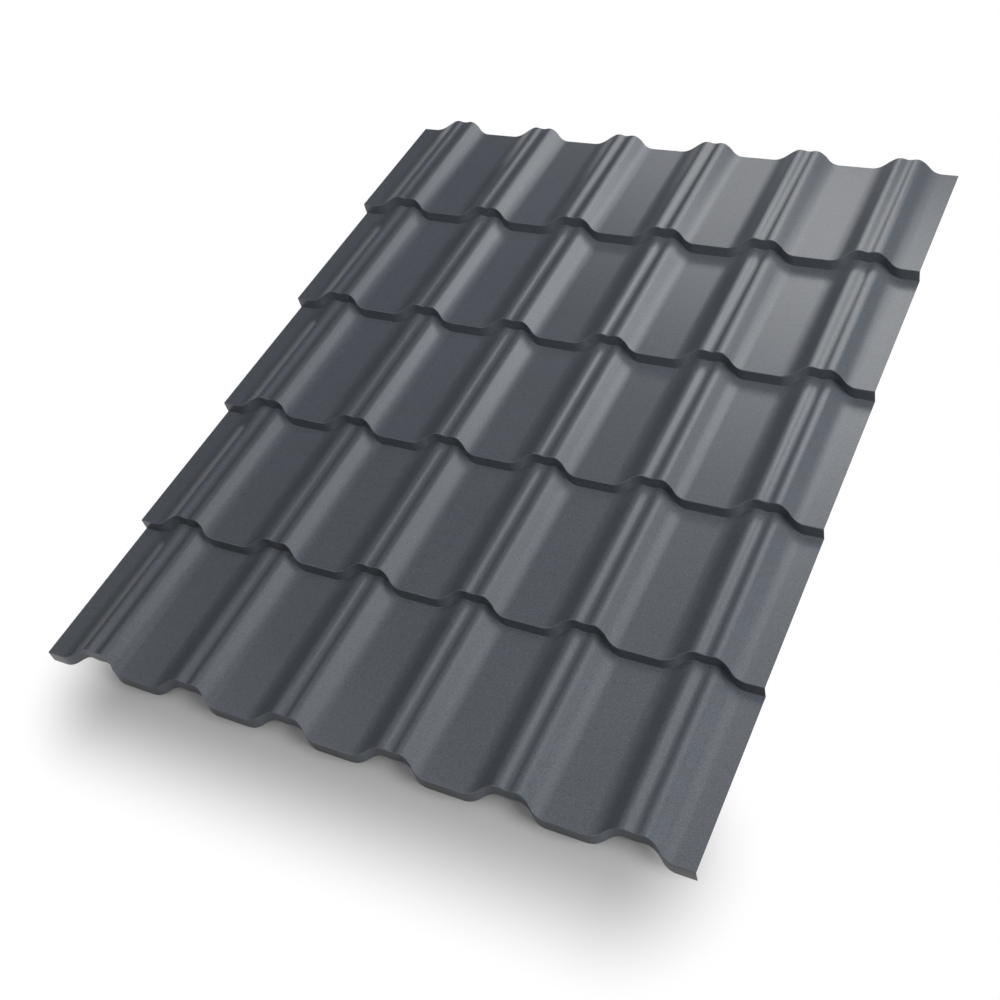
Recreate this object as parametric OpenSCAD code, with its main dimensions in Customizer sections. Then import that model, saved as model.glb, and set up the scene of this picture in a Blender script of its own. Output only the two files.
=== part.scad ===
// Metal roof tile sheet: one coated steel sheet, pressed into waves across its
// width and into stepped tile rows along its length.
// X runs across the waves, +Y up the roof, +Z up. The sheet lies on a floor, on
// the feet of its steps. Its origin is the centre of its plan, at floor level.

/* [Steel] */
// Thickness of the coated sheet
sheet_t = 0.5; // [0.4:0.1:1]

/* [Waves] */
// Number of waves across the sheet
wave_count = 6; // [2:1:7]
// Distance from one wave's centre to the next
wave_pitch = 198; // [150:1:260]
// From each side edge to the centre of the wave next to it
side_margin = 97.5; // [72:0.5:130]
// Height of a wave's beads over the valley floor
crest_h = 13.4; // [8:0.2:20]
// Width of a wave's flank, from the top of its bead to the valley floor
flank_w = 52; // [36:0.5:54]
// Radius at the top of a flank
shoulder_r = 26; // [10:1:60]
// Radius at the foot of a flank
foot_r = 76; // [10:1:90]

/* [Crest groove] */
// Distance between the two beads of a wave
bead_spacing = 31.4; // [20:0.2:36]
// Radius of a bead on its groove side
bead_r = 25; // [18:1:150]
// Radius of the groove between the beads
groove_r = 25; // [18:1:150]

/* [Tile rows] */
// Number of tile rows
row_count = 5; // [1:1:6]
// Length of one row, from step to step
row_length = 294.5; // [200:0.5:400]
// How much shorter than the others the back row is, from its fold to the cut edge
back_row_trim = 3.5; // [0:0.5:50]
// Height of a step
step_h = 23.5; // [12:0.5:35]
// How far the foot of a step stands in front of its fold
step_lean = 1.4; // [0:0.2:6]
// How much further back a step lies over a wave than in a valley
setback = 21; // [4:0.5:36]

/* [Hidden] */

sheet_w = (wave_count - 1) * wave_pitch + 2 * side_margin;

// The groove and bead arcs meet where both have this slope
bead_x = bead_spacing / 2;
groove_angle = asin(bead_x / (bead_r + groove_r));
groove_z = crest_h - (bead_r + groove_r) * (1 - cos(groove_angle));
groove_end = groove_r * sin(groove_angle);

// A flank is two arcs with a straight line between them. Its radii are no larger
// than fit in its width and height.
radii_limit = (pow(flank_w, 2) + pow(crest_h, 2)) / (2 * crest_h * (shoulder_r + foot_r));
top_r = shoulder_r * min(1, radii_limit);
low_r = foot_r * min(1, radii_limit);
flank_reach = norm([flank_w, top_r + low_r - crest_h]);
flank_angle = asin((top_r + low_r) / flank_reach) - atan((top_r + low_r - crest_h) / flank_w);
foot_x = bead_x + flank_w;
shoulder_end = bead_x + top_r * sin(flank_angle);
foot_start = foot_x - low_r * sin(flank_angle);

// Seen from above, a step is straight over the beads and in the valley. Over a
// flank it is two equal arcs that meet halfway.
turn_r = (pow(flank_w, 2) + pow(setback, 2)) / (4 * setback);
turn_angle = asin(flank_w / 2 / turn_r);

// How far an arc of radius r leaves its tangent, x along from where they touch
function arc_drop(r, x) = r - sqrt(r * r - x * x);

// Height of the sheet over the valley floor, x away from a wave's centre
function height_at(x) =
    x < groove_end ? groove_z + arc_drop(groove_r, x) :
    x < bead_x ? crest_h - arc_drop(bead_r, bead_x - x) :
    x < shoulder_end ? crest_h - arc_drop(top_r, x - bead_x) :
    x < foot_start ? low_r * (1 - cos(flank_angle)) + (foot_start - x) * tan(flank_angle) :
    x < foot_x ? arc_drop(low_r, foot_x - x) : 0;

// How far back the steps and the sheet's ends lie, x away from a wave's centre
function setback_at(x) =
    x < bead_x ? setback :
    x < bead_x + flank_w / 2 ? setback - arc_drop(turn_r, x - bead_x) :
    x < foot_x ? arc_drop(turn_r, foot_x - x) : 0;

// Distances from a wave's centre where an arc is cut into facets. The arc touches
// its tangent at x0 and goes on for an angle, outwards or with -r inwards.
function arc_cuts(x0, r, angle, steps) = [for (i = [0:steps]) x0 + r * sin(angle * i / steps)];

// A list in rising order. Values closer than least_gap become one.
least_gap = 0.05;
function sorted(v) = len(v) < 2 ? v : concat(
    sorted([for (x = v) if (x < v[0] - least_gap) x]),
    [v[0]],
    sorted([for (x = v) if (x > v[0] + least_gap) x])
);

// Half of a wave, from the groove's bottom out to the valley floor. Each point is
// [x, how far back it lies, height].
half_wave = [for (x = sorted(concat(
    arc_cuts(0, groove_r, groove_angle, 2),
    arc_cuts(bead_x, -bead_r, groove_angle, 2),
    arc_cuts(bead_x, top_r, flank_angle, 2),
    arc_cuts(foot_x, -low_r, flank_angle, 3),
    arc_cuts(bead_x, turn_r, turn_angle, 3),
    arc_cuts(foot_x, -turn_r, turn_angle, 3)
))) [x, setback_at(x), height_at(x)]];
mirrored_half = [for (i = [len(half_wave) - 1:-1:1]) let (p = half_wave[i]) [-p[0], p[1], p[2]]];
wave = concat(mirrored_half, half_wave);

// The whole section, from side edge to side edge
section = concat(
    [[-sheet_w / 2, 0, 0]],
    [for (i = [0:wave_count - 1], p = wave) p + [(i - (wave_count - 1) / 2) * wave_pitch, 0, 0]],
    [[sheet_w / 2, 0, 0]]
);

// The side view, from the front foot to the back edge, as [y, z]. Each row falls
// by the height of a step on its way up the roof.
row_slope = step_h / (row_length - step_lean);
steps_path = [for (i = [0:row_count - 1], p = [[0, 0], [step_lean, step_h]]) [i * row_length + p[0], p[1]]];
back_run = row_length - back_row_trim;
back_edge = steps_path[len(steps_path) - 1] + back_run * [1, -row_slope];
side_path = concat(steps_path, [back_edge]);

// The underside is the top moved back and down, by the amounts that make both the
// rows and the straight step faces sheet_t thick
row_tilt = atan(row_slope);
lean_angle = atan(step_lean / step_h);
shift_back = sheet_t * (cos(row_tilt) - sin(lean_angle)) / cos(row_tilt - lean_angle);
shift_down = (sheet_t + shift_back * sin(row_tilt)) / cos(row_tilt);

sheet_l = back_edge[0] + setback + shift_back;

// One skin of the sheet: the section moved along the side view
function skin(dy, dz) =
    [for (q = side_path, p = section) [p[0], q[0] + p[1] + dy - sheet_l / 2, q[1] + p[2] + dz]];

module roof_sheet() {
    n = len(section);
    m = len(side_path);
    top = skin(0, shift_down);
    underside = skin(shift_back, 0);
    u = len(top);
    top_faces = [for (j = [0:m - 2], i = [0:n - 2]) let (a = j * n + i) [a, a + n, a + n + 1, a + 1]];
    under_faces = [for (f = top_faces) [for (k = [3:-1:0]) f[k] + u]];
    front_faces = [for (i = [0:n - 2]) [i, i + 1, u + i + 1, u + i]];
    back_faces = [for (i = [(m - 1) * n:m * n - 2]) [i + 1, i, u + i, u + i + 1]];
    left_faces = [for (j = [0:m - 2]) let (a = j * n) [a + n, a, u + a, u + a + n]];
    right_faces = [for (j = [0:m - 2]) let (a = j * n + n - 1) [a, a + n, u + a + n, u + a]];
    color([0.32, 0.34, 0.37])
        polyhedron(points = concat(top, underside),
            faces = concat(top_faces, under_faces, front_faces, back_faces, left_faces, right_faces));
}

roof_sheet();
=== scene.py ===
"""Metal roof tile sheet: its fine mesh, its coating and a plain studio around it."""
import math

import bpy
import numpy as np
from mathutils import Euler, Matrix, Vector


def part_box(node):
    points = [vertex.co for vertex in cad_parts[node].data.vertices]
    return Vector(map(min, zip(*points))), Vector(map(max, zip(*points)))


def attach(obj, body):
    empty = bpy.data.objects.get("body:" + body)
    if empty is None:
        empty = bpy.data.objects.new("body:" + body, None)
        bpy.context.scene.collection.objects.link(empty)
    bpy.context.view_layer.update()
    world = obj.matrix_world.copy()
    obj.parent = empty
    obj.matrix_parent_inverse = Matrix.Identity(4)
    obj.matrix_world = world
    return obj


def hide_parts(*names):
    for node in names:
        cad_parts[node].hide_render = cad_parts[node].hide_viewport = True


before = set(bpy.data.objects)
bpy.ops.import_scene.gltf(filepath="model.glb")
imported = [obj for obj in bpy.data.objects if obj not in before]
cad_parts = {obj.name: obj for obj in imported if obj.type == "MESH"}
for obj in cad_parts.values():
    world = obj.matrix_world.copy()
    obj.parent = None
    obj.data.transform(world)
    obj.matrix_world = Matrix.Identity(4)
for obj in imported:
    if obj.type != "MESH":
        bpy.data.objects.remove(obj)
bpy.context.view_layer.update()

# ---- Sizes of the sheet, in metres, as in the part's source ----
STEEL = 0.0005
WAVES = 6
SIDE_MARGIN = 0.0975
CREST = 0.0134
FLANK = 0.052
SHOULDER_R = 0.026
FOOT_R = 0.076
BEAD_SPACING = 0.0314
BEAD_R = 0.025
GROOVE_R = 0.025
ROWS = 5
ROW = 0.2945
BACK_ROW = 0.291
STEP = 0.0235
STEP_LEAN = 0.0014
SETBACK = 0.021
FOLD_R = 0.0010          # bend radius over a step's fold
STEP_FOOT_R = 0.0007     # bend radius at a step's foot

# ---- Where the mesh is cut. The outer cuts lie close to a bend, so that its shading stays there ----
ROW_CUTS = (0.002, 0.3, 0.7, 0.995)
STEP_CUTS = (0.03, 0.93)
BEND_PARTS = 6
SHARP_ANGLE = 60         # edges that turn by more degrees than this are shaded as sharp

# ---- Colours ----
COATING_COLOUR = (0.070, 0.079, 0.093)
BACK_COAT_COLOUR = (0.36, 0.37, 0.375)
CUT_EDGE_COLOUR = (0.11, 0.115, 0.125)

# ---- Floor and backdrop, in metres ----
FLOOR_R = 20.0
PAINTED_SHADE_FADE = 0.21        # from the sheet's front edge to where the painted shade on the floor has faded to plain white
PAINTED_SHADE_INSET = 0.15       # from the sheet's side edges to the ends of the full painted shade
PAINTED_SHADE_SHIFT = 0.03       # from the sheet's centre line to the middle of the painted shade
FLOOR_SEEN_PAINTED_SHADE = 0.38        # the floor's colour at the front edge as the camera and glosses see it, a painted grey shade that the lamps' real shadow darkens further
FLOOR_BOUNCE = 0.4       # the whole floor's colour as it throws light back up
BACKDROP_R = 8.0
BACKDROP_H = 6.0
BACKDROP_TURNS = range(-150, 51, 10)     # where its panels meet, in degrees from +X towards +Y

sheet_low, sheet_high = [Vector(corner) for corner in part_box("roof_sheet")]
sheet_w = sheet_high.x - sheet_low.x
wave_pitch = (sheet_w - 2 * SIDE_MARGIN) / (WAVES - 1)


# ---- Section across the waves ----
def arc_drop(radius, x):
    """How far an arc leaves its tangent, x along from where they touch."""
    return radius - np.sqrt(np.maximum(radius ** 2 - x ** 2, 0))


def arc_cuts(x0, radius, angle, steps):
    """Where an arc that touches its tangent at x0 is cut. It runs outwards, or inwards with -radius."""
    return x0 + radius * np.sin(angle * np.arange(steps + 1) / steps)


def half_wave():
    """Half of a wave as x, setback and height, from the groove's bottom out to the valley floor."""
    bead_x = BEAD_SPACING / 2
    groove_a = math.asin(bead_x / (BEAD_R + GROOVE_R))
    groove_z = CREST - (BEAD_R + GROOVE_R) * (1 - math.cos(groove_a))
    radii = SHOULDER_R + FOOT_R
    flank_a = math.asin(radii / math.hypot(FLANK, radii - CREST)) - math.atan((radii - CREST) / FLANK)
    foot_x = bead_x + FLANK
    foot_start = foot_x - FOOT_R * math.sin(flank_a)
    foot_z = arc_drop(FOOT_R, foot_x - foot_start)
    turn_r = (FLANK ** 2 + SETBACK ** 2) / (4 * SETBACK)
    turn_a = math.asin(FLANK / 2 / turn_r)
    cuts = np.concatenate([
        arc_cuts(0, GROOVE_R, groove_a, 5),
        arc_cuts(bead_x, -BEAD_R, groove_a, 5),
        arc_cuts(bead_x, SHOULDER_R, flank_a, 6),
        arc_cuts(foot_x, -FOOT_R, flank_a, 7),
        arc_cuts(bead_x, turn_r, turn_a, 6),
        arc_cuts(foot_x, -turn_r, turn_a, 6),
    ])
    x = np.unique(np.round(cuts, 4))
    height = np.select(
        [x < GROOVE_R * math.sin(groove_a), x < bead_x, x < bead_x + SHOULDER_R * math.sin(flank_a),
         x < foot_start, x < foot_x],
        [groove_z + arc_drop(GROOVE_R, x), CREST - arc_drop(BEAD_R, bead_x - x),
         CREST - arc_drop(SHOULDER_R, x - bead_x), foot_z + (foot_start - x) * math.tan(flank_a),
         arc_drop(FOOT_R, foot_x - x)])
    setback = np.select(
        [x < bead_x, x < bead_x + FLANK / 2, x < foot_x],
        [SETBACK, SETBACK - arc_drop(turn_r, x - bead_x), arc_drop(turn_r, foot_x - x)])
    return np.array([x, setback, height])


def section():
    """The sheet's section from side edge to side edge, as arrays of x, setback and height."""
    half = half_wave()
    mirrored = half[:, :0:-1] * np.array([[-1], [1], [1]])
    wave = np.concatenate([mirrored, half], axis=1)
    centres = [(i - (WAVES - 1) / 2) * wave_pitch for i in range(WAVES)]
    waves = [wave + np.array([[centre], [0], [0]]) for centre in centres]
    edge = np.array([[sheet_w / 2], [0], [0]])
    return np.concatenate([-edge, *waves, edge], axis=1)


# ---- Side view up the roof ----
def rounded(before, corner, after, radius, steps):
    """Replaces a corner of the side view with an arc, as (y, z) points."""
    a = (before - corner).normalized()
    b = (after - corner).normalized()
    half_angle = math.acos(max(-1.0, min(1.0, a.dot(b)))) / 2
    cut = radius / math.tan(half_angle)
    centre = corner + (a + b).normalized() * (radius / math.sin(half_angle))
    first = corner + a * cut - centre
    last = corner + b * cut - centre
    sweep = math.atan2(first.x * last.y - first.y * last.x, first.dot(last))
    points = []
    for i in range(steps + 1):
        t = sweep * i / steps
        points.append(centre + Vector((first.x * math.cos(t) - first.y * math.sin(t),
                                       first.x * math.sin(t) + first.y * math.cos(t))))
    return points


def side_view():
    """The top of the sheet seen from the side, from the front foot to the back edge."""
    slope = STEP / (ROW - STEP_LEAN)
    corners = []
    for i in range(ROWS):
        corners.append(Vector((i * ROW, 0)))
        corners.append(Vector((i * ROW + STEP_LEAN, STEP)))
    corners.append(corners[-1] + Vector((BACK_ROW, -BACK_ROW * slope)))
    path = [corners[0], corners[0].lerp(corners[1], 0.5)]
    for i in range(1, len(corners) - 1):
        is_fold = i % 2 == 1
        radius = FOLD_R if is_fold else STEP_FOOT_R
        path += rounded(corners[i - 1], corners[i], corners[i + 1], radius, BEND_PARTS)
        start, end = path[-1], corners[i + 1]
        path += [start.lerp(end, t) for t in (ROW_CUTS if is_fold else STEP_CUTS)]
    path.append(corners[-1])
    return np.array([tuple(p) for p in path]).T


def tangents(y, z):
    """The direction of the side view at each of its points."""
    dy, dz = np.gradient(y), np.gradient(z)
    length = np.hypot(dy, dz)
    return dy / length, dz / length


def sheet_mesh():
    """The sheet: its top, its underside and its edges, each with a material of its own."""
    x, setback, height = section()
    y, z = side_view()
    ty, tz = tangents(y, z)
    shape = (len(y), len(x))
    top = np.zeros(shape + (3,))
    top[..., 0] = x
    top[..., 1] = y[:, None] + setback
    top[..., 2] = z[:, None] + height
    across = np.zeros(shape + (3,))
    across[..., 0] = 1
    across[..., 1] = np.gradient(setback, x)
    across[..., 2] = np.gradient(height, x)
    along = np.zeros(shape + (3,))
    along[..., 1] = ty[:, None]
    along[..., 2] = tz[:, None]
    normal = np.cross(across, along)
    normal /= np.linalg.norm(normal, axis=2)[..., None]
    under = top - STEEL * normal
    lowest = min(top[..., 2].min(), under[..., 2].min())
    shift = np.array([0, sheet_low.y - top[..., 1].min(), sheet_low.z - lowest])
    rows, cols = shape
    count = rows * cols
    verts = np.concatenate([top.reshape(-1, 3), under.reshape(-1, 3)]) + shift
    faces, edge_faces = [], []
    for j in range(rows - 1):
        for i in range(cols - 1):
            a = j * cols + i
            faces.append((a, a + 1, a + cols + 1, a + cols))
    top_count = len(faces)
    faces += [tuple(v + count for v in reversed(f)) for f in faces]
    for i in range(cols - 1):
        b = (rows - 1) * cols + i
        edge_faces.append((i + 1, i, i + count, i + 1 + count))
        edge_faces.append((b, b + 1, b + 1 + count, b + count))
    for j in range(rows - 1):
        a, b = j * cols, j * cols + cols - 1
        edge_faces.append((a, a + cols, a + cols + count, a + count))
        edge_faces.append((b + cols, b, b + count, b + cols + count))
    mesh = bpy.data.meshes.new("coated_sheet")
    mesh.from_pydata(verts.tolist(), [], faces + edge_faces)
    materials = [0] * top_count + [1] * top_count + [2] * len(edge_faces)
    mesh.polygons.foreach_set("material_index", materials)
    mesh.polygons.foreach_set("use_smooth", [m != 2 for m in materials])
    mesh.update()
    mesh.set_sharp_from_angle(angle=math.radians(SHARP_ANGLE))
    return mesh


# ---- Materials ----
def material(name):
    """A new material, with its nodes, its links and its shader."""
    mat = bpy.data.materials.new(name)
    mat.use_nodes = True
    return mat, mat.node_tree.nodes, mat.node_tree.links, mat.node_tree.nodes["Principled BSDF"]


def noise(nodes, links, scale, stretch=(1, 1, 1), detail=2.0):
    """Noise in the sheet's own coordinates, in metres. Returns its output, from 0 to 1."""
    place = nodes.new("ShaderNodeTexCoord")
    mapping = nodes.new("ShaderNodeMapping")
    mapping.inputs["Scale"].default_value = stretch
    texture = nodes.new("ShaderNodeTexNoise")
    texture.inputs["Scale"].default_value = scale
    texture.inputs["Detail"].default_value = detail
    links.new(place.outputs["Object"], mapping.inputs["Vector"])
    links.new(mapping.outputs["Vector"], texture.inputs["Vector"])
    return texture.outputs["Fac"]


def spread(nodes, links, value, low, high):
    """Spreads a noise's usual range, 0.3 to 0.7, over low to high."""
    node = nodes.new("ShaderNodeMapRange")
    node.inputs["From Min"].default_value = 0.3
    node.inputs["From Max"].default_value = 0.7
    node.inputs["To Min"].default_value = low
    node.inputs["To Max"].default_value = high
    links.new(value, node.inputs["Value"])
    return node.outputs["Result"]


def combine(nodes, links, operation, a, b):
    """One value from two, such as their product."""
    node = nodes.new("ShaderNodeMath")
    node.operation = operation
    links.new(a, node.inputs[0])
    links.new(b, node.inputs[1])
    return node.outputs["Value"]


def tinted(nodes, links, colour, brightness):
    """A colour times a brightness that varies over the surface."""
    node = nodes.new("ShaderNodeVectorMath")
    node.operation = "SCALE"
    node.inputs[0].default_value = colour
    links.new(brightness, node.inputs["Scale"])
    return node.outputs["Vector"]


def bump(nodes, links, height, depth):
    """Raises the surface by up to depth metres where the height is 1."""
    node = nodes.new("ShaderNodeBump")
    node.inputs["Distance"].default_value = depth
    links.new(height, node.inputs["Height"])
    return node.outputs["Normal"]


def coating():
    """Matt blue-grey roof coating with a fine grain."""
    mat, nodes, links, shader = material("graphite_coating")
    shader.inputs["IOR"].default_value = 1.55
    grain = noise(nodes, links, 420, detail=3)
    cloud = noise(nodes, links, 5)
    fine = spread(nodes, links, grain, 0.72, 1.28)
    broad = spread(nodes, links, cloud, 0.98, 1.02)
    brightness = combine(nodes, links, "MULTIPLY", fine, broad)
    links.new(tinted(nodes, links, COATING_COLOUR, brightness), shader.inputs["Base Color"])
    links.new(spread(nodes, links, cloud, 0.32, 0.34), shader.inputs["Roughness"])
    links.new(bump(nodes, links, grain, 0.00003), shader.inputs["Normal"])
    return mat


def back_coat():
    """Thin pale grey backing paint, with faint streaks along the coil."""
    mat, nodes, links, shader = material("grey_back_coat")
    streak = noise(nodes, links, 60, (1, 0.03, 1), 3)
    grain = noise(nodes, links, 500)
    streaks = spread(nodes, links, streak, 0.94, 1.06)
    fine = spread(nodes, links, grain, 0.95, 1.05)
    brightness = combine(nodes, links, "MULTIPLY", streaks, fine)
    links.new(tinted(nodes, links, BACK_COAT_COLOUR, brightness), shader.inputs["Base Color"])
    links.new(spread(nodes, links, streak, 0.42, 0.5), shader.inputs["Roughness"])
    links.new(bump(nodes, links, grain, 0.00001), shader.inputs["Normal"])
    return mat


def cut_edge():
    """Sheared zinc-coated steel, dull, with fine shear marks across the edge."""
    mat, nodes, links, shader = material("cut_edge")
    shader.inputs["Metallic"].default_value = 0.3
    marks = noise(nodes, links, 900, (1, 1, 0.1))
    brightness = spread(nodes, links, marks, 0.8, 1.2)
    links.new(tinted(nodes, links, CUT_EDGE_COLOUR, brightness), shader.inputs["Base Color"])
    links.new(spread(nodes, links, marks, 0.42, 0.58), shader.inputs["Roughness"])
    links.new(bump(nodes, links, marks, 0.00002), shader.inputs["Normal"])
    return mat


def seen_directly(nodes, links):
    """1 for the camera's own rays and for those that a gloss or glass sends on."""
    path = nodes.new("ShaderNodeLightPath")
    total = path.outputs["Is Camera Ray"]
    for output in ("Is Glossy Ray", "Is Transmission Ray"):
        total = combine(nodes, links, "MAXIMUM", total, path.outputs[output])
    return total


def vector_step(nodes, links, operation, vector, by=(0, 0, 0)):
    """A vector after one operation. Its second input is a constant."""
    node = nodes.new("ShaderNodeVectorMath")
    node.operation = operation
    node.inputs[1].default_value = by
    links.new(vector, node.inputs[0])
    return node.outputs["Vector"]


def floor_with_painted_shade(front):
    """
    A white floor. It is seen as plain white, except along the sheet's front edge, where its colour is a
    painted grey shade that the lamps light, so their real shadow adds to it.
    front holds the x of that edge's right end and its y.
    """
    mat, nodes, links, shader = material("floor_with_painted_shade")
    shader.inputs["Roughness"].default_value = 0.9
    shader.inputs["Specular IOR Level"].default_value = 0.0
    seen = seen_directly(nodes, links)
    # painted shade: the camera and glosses see the floor darker grey along the sheet's front edge
    brightness = nodes.new("ShaderNodeMapRange")
    brightness.inputs["To Min"].default_value = FLOOR_BOUNCE
    brightness.inputs["To Max"].default_value = FLOOR_SEEN_PAINTED_SHADE
    links.new(seen, brightness.inputs["Value"])
    links.new(tinted(nodes, links, (1, 1, 1), brightness.outputs["Result"]), shader.inputs["Base Color"])
    place = nodes.new("ShaderNodeTexCoord")
    from_front = vector_step(nodes, links, "SUBTRACT", place.outputs["Object"], (PAINTED_SHADE_SHIFT, front.y, 0))
    side = vector_step(nodes, links, "ABSOLUTE", from_front)
    beyond = vector_step(nodes, links, "SUBTRACT", side, (front.x - PAINTED_SHADE_INSET, 0, 0))
    outside = vector_step(nodes, links, "MAXIMUM", beyond)
    distance = nodes.new("ShaderNodeVectorMath")
    distance.operation = "LENGTH"
    links.new(outside, distance.inputs[0])
    # the painted shade fades from the front edge out to plain white
    fade = nodes.new("ShaderNodeMapRange")
    fade.interpolation_type = "SMOOTHSTEP"
    fade.inputs["From Max"].default_value = PAINTED_SHADE_FADE
    links.new(distance.outputs["Value"], fade.inputs["Value"])
    white = nodes.new("ShaderNodeEmission")
    mix = nodes.new("ShaderNodeMixShader")
    links.new(combine(nodes, links, "MULTIPLY", fade.outputs["Result"], seen), mix.inputs["Fac"])
    links.new(shader.outputs["BSDF"], mix.inputs[1])
    links.new(white.outputs["Emission"], mix.inputs[2])
    links.new(mix.outputs["Shader"], nodes["Material Output"].inputs["Surface"])
    return mat


def backdrop_white():
    """Plain white to the camera, and to a gloss or glass. It lights nothing."""
    mat, nodes, links, shader = material("backdrop_white")
    shader.inputs["Base Color"].default_value = (0, 0, 0, 1)
    shader.inputs["Specular IOR Level"].default_value = 0.0
    shader.inputs["Emission Color"].default_value = (1, 1, 1, 1)
    links.new(seen_directly(nodes, links), shader.inputs["Emission Strength"])
    return mat


mesh = sheet_mesh()
mesh.materials.append(coating())
mesh.materials.append(back_coat())
mesh.materials.append(cut_edge())
sheet = bpy.data.objects.new("pressed_sheet", mesh)
bpy.context.collection.objects.link(sheet)
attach(sheet, "root")
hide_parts("roof_sheet")


# ---- Floor ----
def stage_piece(name, points, faces, mat):
    """A piece of the studio, which isn't part of the sheet."""
    shape = bpy.data.meshes.new(name)
    shape.from_pydata(points, [], faces)
    shape.materials.append(mat)
    piece = bpy.data.objects.new(name, shape)
    bpy.context.collection.objects.link(piece)


corners = [(-FLOOR_R, -FLOOR_R, 0), (FLOOR_R, -FLOOR_R, 0), (FLOOR_R, FLOOR_R, 0), (-FLOOR_R, FLOOR_R, 0)]
stage_piece("floor", corners, [(0, 1, 2, 3)], floor_with_painted_shade(Vector((sheet_high.x, sheet_low.y))))

# ---- Backdrop, round the front and the right ----
turns = [math.radians(azimuth) for azimuth in BACKDROP_TURNS]
foot = [(BACKDROP_R * math.cos(turn), BACKDROP_R * math.sin(turn), 0) for turn in turns]
rim = [(x, y, BACKDROP_H) for x, y, _ in foot]
panels = [(i, i + 1, len(foot) + i + 1, len(foot) + i) for i in range(len(foot) - 1)]
stage_piece("backdrop", foot + rim, panels, backdrop_white())

# ---- Light ----
world = bpy.data.worlds.new("studio")
bpy.context.scene.world = world
world.use_nodes = True
world.node_tree.nodes["Background"].inputs["Color"].default_value = (1, 1, 1, 1)
world.node_tree.nodes["Background"].inputs["Strength"].default_value = 0.02


def lamp(name, azimuth, elevation, distance, width, height, radiance, shadow=True):
    """A softbox aimed at the sheet. Its direction is seen from the sheet, azimuth from +X towards +Y."""
    level = math.cos(math.radians(elevation))
    direction = Vector((level * math.cos(math.radians(azimuth)), level * math.sin(math.radians(azimuth)),
                        math.sin(math.radians(elevation))))
    data = bpy.data.lights.new(name, "AREA")
    data.shape = "RECTANGLE"
    data.size = width
    data.size_y = height
    data.energy = radiance * math.pi * width * height
    data.use_shadow = shadow
    softbox = bpy.data.objects.new(name, data)
    softbox.location = direction * distance
    softbox.rotation_euler = direction.to_track_quat("Z", "Y").to_euler()
    bpy.context.collection.objects.link(softbox)


lamp("key_softbox", -10, 28, 4.0, 2.1, 1.5, 17)
lamp("back_softbox", 77, 37, 2.3, 1.15, 0.95, 3.8, shadow=False)
lamp("far_back_softbox", 99, 25.5, 2.8, 1.0, 0.75, 3.2, shadow=False)
lamp("high_back_softbox", 70, 62, 4.0, 2.6, 2.1, 1.7)
lamp("high_left_softbox", 207, 62, 4.0, 3.4, 2.1, 2.3)

# ---- Camera ----
cam_data = bpy.data.cameras.new("camera")
cam_data.lens = 46.686
cam_data.sensor_width = 36
cam = bpy.data.objects.new("camera", cam_data)
cam.location = (1.00868, -1.31510, 1.70459)
cam.rotation_euler = Euler([math.radians(a) for a in (38.6536, 13.5284, 25.0902)], "XYZ")
bpy.context.collection.objects.link(cam)
bpy.context.scene.camera = cam
bpy.context.scene.view_settings.view_transform = "Standard"
